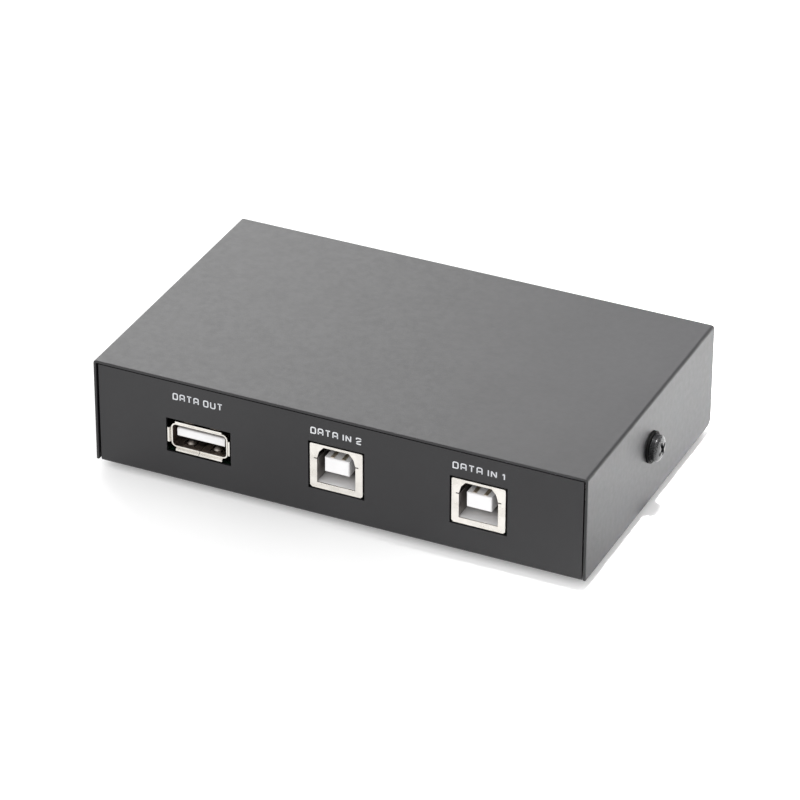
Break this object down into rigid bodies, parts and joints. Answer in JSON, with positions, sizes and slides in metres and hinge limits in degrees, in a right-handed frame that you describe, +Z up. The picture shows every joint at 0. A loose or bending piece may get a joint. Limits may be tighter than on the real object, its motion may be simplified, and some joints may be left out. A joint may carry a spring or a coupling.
{
  "type": "kvm switch",
  "caption": "Low folded-steel desktop box with a flat data outlet and square data inlets along one long side and a square push selector button on the other.",
  "frame": {"origin": "on the supporting surface, under the middle of the whole object's bounding box, button included", "axes": "+X along the port panel, to the right as one faces it; +Y from the port panel to the button panel; +Z up"},
  "size_m": [0.117, 0.0744, 0.0261],
  "materials": {
    "case_paint": "fine-textured black powder coat, satin",
    "foot_rubber": "matt black",
    "black_hardware": "black oxide, semi-gloss",
    "zinc_steel": "bright zinc plate",
    "standoff_brass": "turned, satin",
    "board_laminate": "green solder mask, satin",
    "port_nickel": "satin nickel plate",
    "port_plastic": "white moulded thermoplastic, satin",
    "contact_gold": "thin gold plate",
    "switch_plastic": "black moulded",
    "button_plastic": "fine-textured black moulded",
    "spring_steel": "drawn wire"
  },
  "bodies": {
    "case": {"top_cover": "case_paint", "chassis": "case_paint", "foot_front_left": "foot_rubber", "foot_front_right": "foot_rubber", "foot_rear_left": "foot_rubber", "foot_rear_right": "foot_rubber", "cover_washer_left": "black_hardware", "cover_screw_left": "black_hardware", "tab_nut_left": "zinc_steel", "cover_washer_right": "black_hardware", "cover_screw_right": "black_hardware", "tab_nut_right": "zinc_steel", "board_standoff_1": "standoff_brass", "board_screw_1": "zinc_steel", "board_standoff_2": "standoff_brass", "board_screw_2": "zinc_steel", "board_standoff_3": "standoff_brass", "board_screw_3": "zinc_steel", "board_standoff_4": "standoff_brass", "board_screw_4": "zinc_steel", "circuit_board": "board_laminate", "outlet_shell": "port_nickel", "outlet_contacts": "contact_gold", "outlet_insulator": "port_plastic", "inlet_shell_1": "port_nickel", "inlet_contacts_1": "contact_gold", "inlet_insulator_1": "port_plastic", "inlet_shell_2": "port_nickel", "inlet_contacts_2": "contact_gold", "inlet_insulator_2": "port_plastic", "switch_housing": "switch_plastic", "switch_frame": "zinc_steel", "switch_terminals": "contact_gold", "latch_pin": "spring_steel", "switch_spring": "spring_steel"},
    "button": {"button_cap": "button_plastic", "switch_plunger": "switch_plastic", "bridge_clips": "contact_gold"}
  },
  "joints": [
    {"name": "button_press", "type": "slide", "parent": "case", "child": "button", "axis": [0, -1, 0], "range_m": [0, 0.0025], "stiffness_N_per_m": 500, "springref_m": -0.002, "deforming": ["switch_spring"]}
  ]
}
